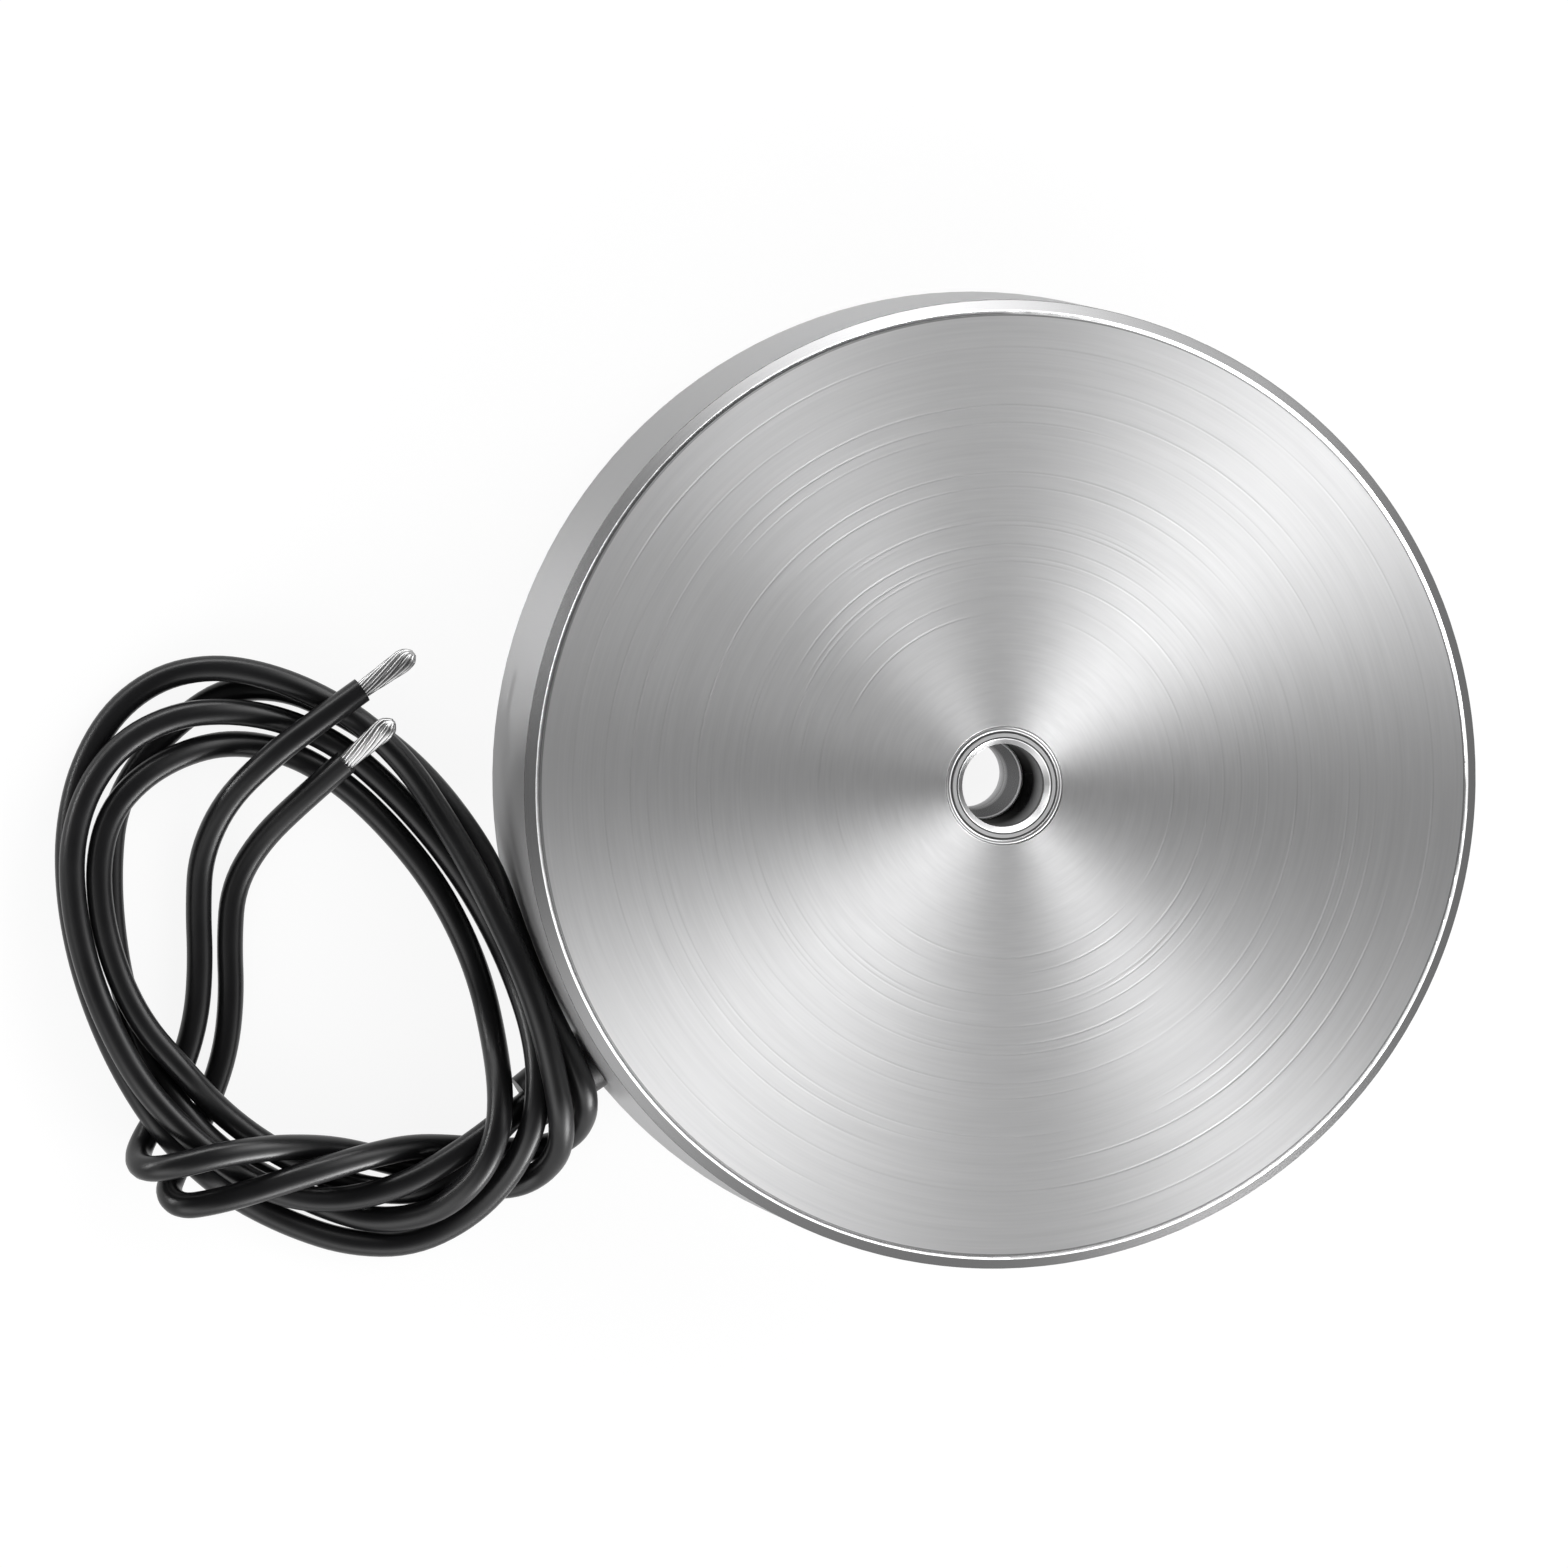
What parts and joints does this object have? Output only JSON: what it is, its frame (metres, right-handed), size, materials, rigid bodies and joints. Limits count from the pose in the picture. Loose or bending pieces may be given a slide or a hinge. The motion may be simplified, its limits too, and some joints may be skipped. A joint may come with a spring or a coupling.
{
  "type": "round holding electromagnet",
  "caption": "Flat round holding electromagnet: chamfered steel pot with a stepped central bore, a side strain relief and two loosely coiled leads with stripped ends.",
  "frame": {"origin": "centre of the working face, on the surface the magnet lies on", "axes": "+Z along the magnet's axis, from the working face to the turned mounting face; the leads lie towards -X"},
  "size_m": [0.1458, 0.1001, 0.02],
  "materials": {
    "turned_steel": "bright turned steel, fine concentric tool marks",
    "core_steel": "machined steel",
    "bush_steel": "bright turned steel with rings at its mouth",
    "bobbin_plastic": "moulded, matte",
    "enamelled_copper": "enamelled copper wire",
    "tape": "smooth insulating tape",
    "insulation": "pressed insulation sheet",
    "resin": "cast black resin",
    "crimp_metal": "tinned",
    "shrink_tube": "shrunk tube, satin",
    "sleeve_rubber": "moulded, satin black",
    "lead_insulation": "smooth semi-gloss black insulation",
    "tinned_strands": "bright twisted strands"
  },
  "bodies": {
    "root": {"pot": "turned_steel", "core": "core_steel", "bore_bush": "bush_steel", "bobbin": "bobbin_plastic", "winding": "enamelled_copper", "coil_tape": "tape", "base_washer": "insulation", "potting_resin": "resin", "start_wire": "enamelled_copper", "finish_wire": "enamelled_copper", "start_splice": "crimp_metal", "finish_splice": "crimp_metal", "start_splice_cover": "shrink_tube", "finish_splice_cover": "shrink_tube", "lead_sleeve": "sleeve_rubber", "lead_a": "lead_insulation", "lead_b": "lead_insulation", "lead_a_tip": "tinned_strands", "lead_b_tip": "tinned_strands"}
  },
  "joints": []
}
